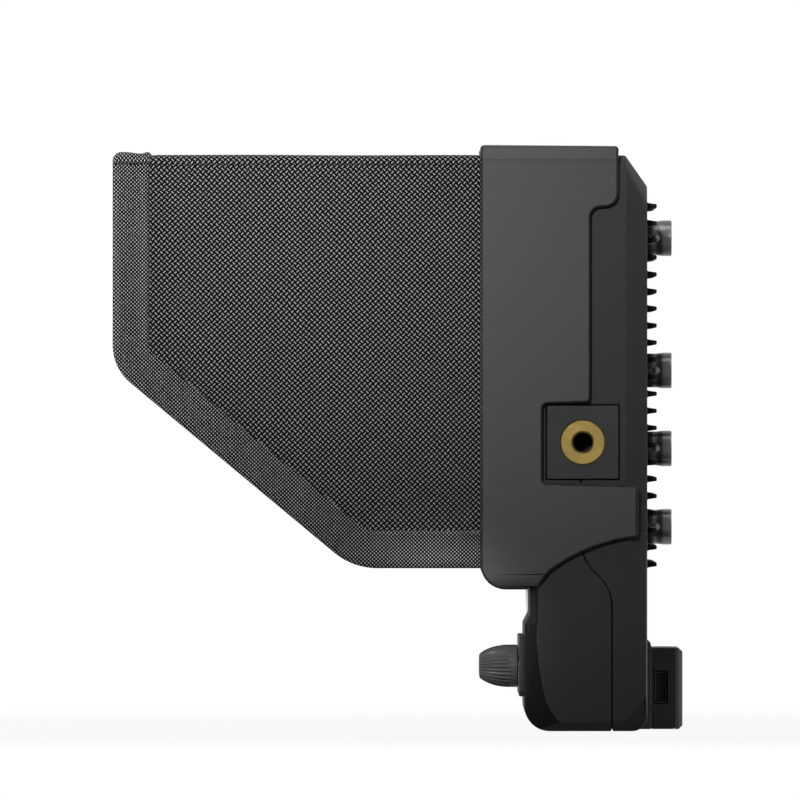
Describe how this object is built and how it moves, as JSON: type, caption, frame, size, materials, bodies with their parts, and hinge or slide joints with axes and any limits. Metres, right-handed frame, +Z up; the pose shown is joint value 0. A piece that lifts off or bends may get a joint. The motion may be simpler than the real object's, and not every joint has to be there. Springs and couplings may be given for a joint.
{
  "type": "camera field monitor with sun hood",
  "caption": "Small camera monitor with a folding fabric sun hood, finned back, video sockets, side threads and front controls.",
  "frame": {"origin": "centre of the underside of the case, on the table", "axes": "+X to the right along the width, seen from behind the monitor with the hood pointing away; -Y out of the screen along the hood; +Z up"},
  "size_m": [0.1764, 0.1525, 0.1565],
  "materials": {
    "case_grey": "satin dark grey paint on cast metal",
    "front_grey": "satin dark grey",
    "frame_grey": "satin mid grey",
    "heat_sink_black": "black anodised",
    "silicone_pad": "matte",
    "cover_glass": "smoked, reflective",
    "gasket_black": "matte",
    "panel_black": "polarised film",
    "sheet_steel": "bare sheet",
    "circuit_green": "solder mask",
    "chip_black": "moulded",
    "ribbon_amber": "film",
    "connector_nickel": "nickel plated",
    "insulator_white": "moulded",
    "contact_gold": "gold plated",
    "housing_black": "satin",
    "plate_grey": "satin dark grey",
    "block_grey": "satin dark grey paint",
    "insert_brass": "turned",
    "port_cover": "matte",
    "screw_black": "blackened",
    "steel_bright": "turned",
    "knob_black": "satin, fluted",
    "button_black": "matte",
    "ring_black": "matte",
    "tape_black": "webbing",
    "hood_cloth": "coarse diagonal weave",
    "hood_board": "sheet",
    "hood_hem": "fine weave"
  },
  "bodies": {
    "monitor": {"front_shell": "front_grey", "rear_shell": "case_grey", "heat_sink": "heat_sink_black", "thermal_pad": "silicone_pad", "screen_glass": "cover_glass", "screen_gasket": "gasket_black", "display_panel": "panel_black", "display_bracket": "sheet_steel", "main_board": "circuit_green", "board_chips": "chip_black", "control_board": "circuit_green", "display_ribbon": "ribbon_amber", "control_ribbon": "ribbon_amber", "bnc_plate": "sheet_steel", "bnc_jack_1": "connector_nickel", "bnc_jack_2": "connector_nickel", "bnc_jack_3": "connector_nickel", "bnc_jack_4": "connector_nickel", "bnc_nuts": "steel_bright", "bnc_insulators": "insulator_white", "bnc_contacts": "contact_gold", "connector_housing": "housing_black", "connector_plate": "plate_grey", "plate_screws": "screw_black", "power_socket": "connector_nickel", "power_pin": "connector_nickel", "service_port": "port_cover", "control_fascia": "housing_black", "potentiometers": "steel_bright", "tact_switches": "chip_black", "side_block_right": "block_grey", "side_block_left": "block_grey", "side_insert_right": "insert_brass", "side_insert_left": "insert_brass", "case_screws": "screw_black", "board_screws": "steel_bright"},
    "hood": {"hood_frame": "frame_grey", "hood_base_ring": "ring_black", "hinge_tapes": "tape_black"},
    "right_flap": {"right_flap_cloth": "hood_cloth", "right_flap_board": "hood_board", "right_flap_hem": "hood_hem"},
    "left_flap": {"left_flap_cloth": "hood_cloth", "left_flap_board": "hood_board", "left_flap_hem": "hood_hem"},
    "top_flap": {"top_flap_cloth": "hood_cloth", "top_flap_board": "hood_board", "top_flap_hem": "hood_hem"},
    "brightness_control": {"brightness_knob": "knob_black", "brightness_shaft": "steel_bright"},
    "contrast_control": {"contrast_knob": "knob_black", "contrast_shaft": "steel_bright"},
    "peaking_control": {"peaking_knob": "knob_black", "peaking_shaft": "steel_bright"},
    "button_1": {"function_button_1": "button_black"},
    "button_2": {"function_button_2": "button_black"},
    "button_3": {"function_button_3": "button_black"}
  },
  "joints": [
    {"name": "hood_release", "type": "slide", "parent": "monitor", "child": "hood", "axis": [0, -1, 0], "range_m": [0, 0.045]},
    {"name": "right_flap_fold", "type": "hinge", "parent": "hood", "child": "right_flap", "pos_m": [0.0816, -0.022, 0.0975], "axis": [0, 0, -1], "range_deg": [0, 90]},
    {"name": "left_flap_fold", "type": "hinge", "parent": "hood", "child": "left_flap", "pos_m": [-0.0816, -0.0249, 0.0975], "axis": [0, 0, 1], "range_deg": [0, 90]},
    {"name": "top_flap_fold", "type": "hinge", "parent": "hood", "child": "top_flap", "pos_m": [0, -0.0279, 0.1517], "axis": [1, 0, 0], "range_deg": [0, 90]},
    {"name": "brightness_turn", "type": "hinge", "parent": "monitor", "child": "brightness_control", "pos_m": [0.028, -0.024, 0.0172], "axis": [0, -1, 0], "range_deg": [-140, 140]},
    {"name": "contrast_turn", "type": "hinge", "parent": "monitor", "child": "contrast_control", "pos_m": [0.046, -0.024, 0.0172], "axis": [0, -1, 0], "range_deg": [-140, 140]},
    {"name": "peaking_turn", "type": "hinge", "parent": "monitor", "child": "peaking_control", "pos_m": [0.064, -0.024, 0.0172], "axis": [0, -1, 0], "range_deg": [-140, 140]},
    {"name": "button_1_press", "type": "slide", "parent": "monitor", "child": "button_1", "axis": [0, 1, 0], "range_m": [0, 0.0006], "stiffness_N_per_m": 600, "springref_m": -0.0005},
    {"name": "button_2_press", "type": "slide", "parent": "monitor", "child": "button_2", "axis": [0, 1, 0], "range_m": [0, 0.0006], "stiffness_N_per_m": 600, "springref_m": -0.0005},
    {"name": "button_3_press", "type": "slide", "parent": "monitor", "child": "button_3", "axis": [0, 1, 0], "range_m": [0, 0.0006], "stiffness_N_per_m": 600, "springref_m": -0.0005}
  ]
}
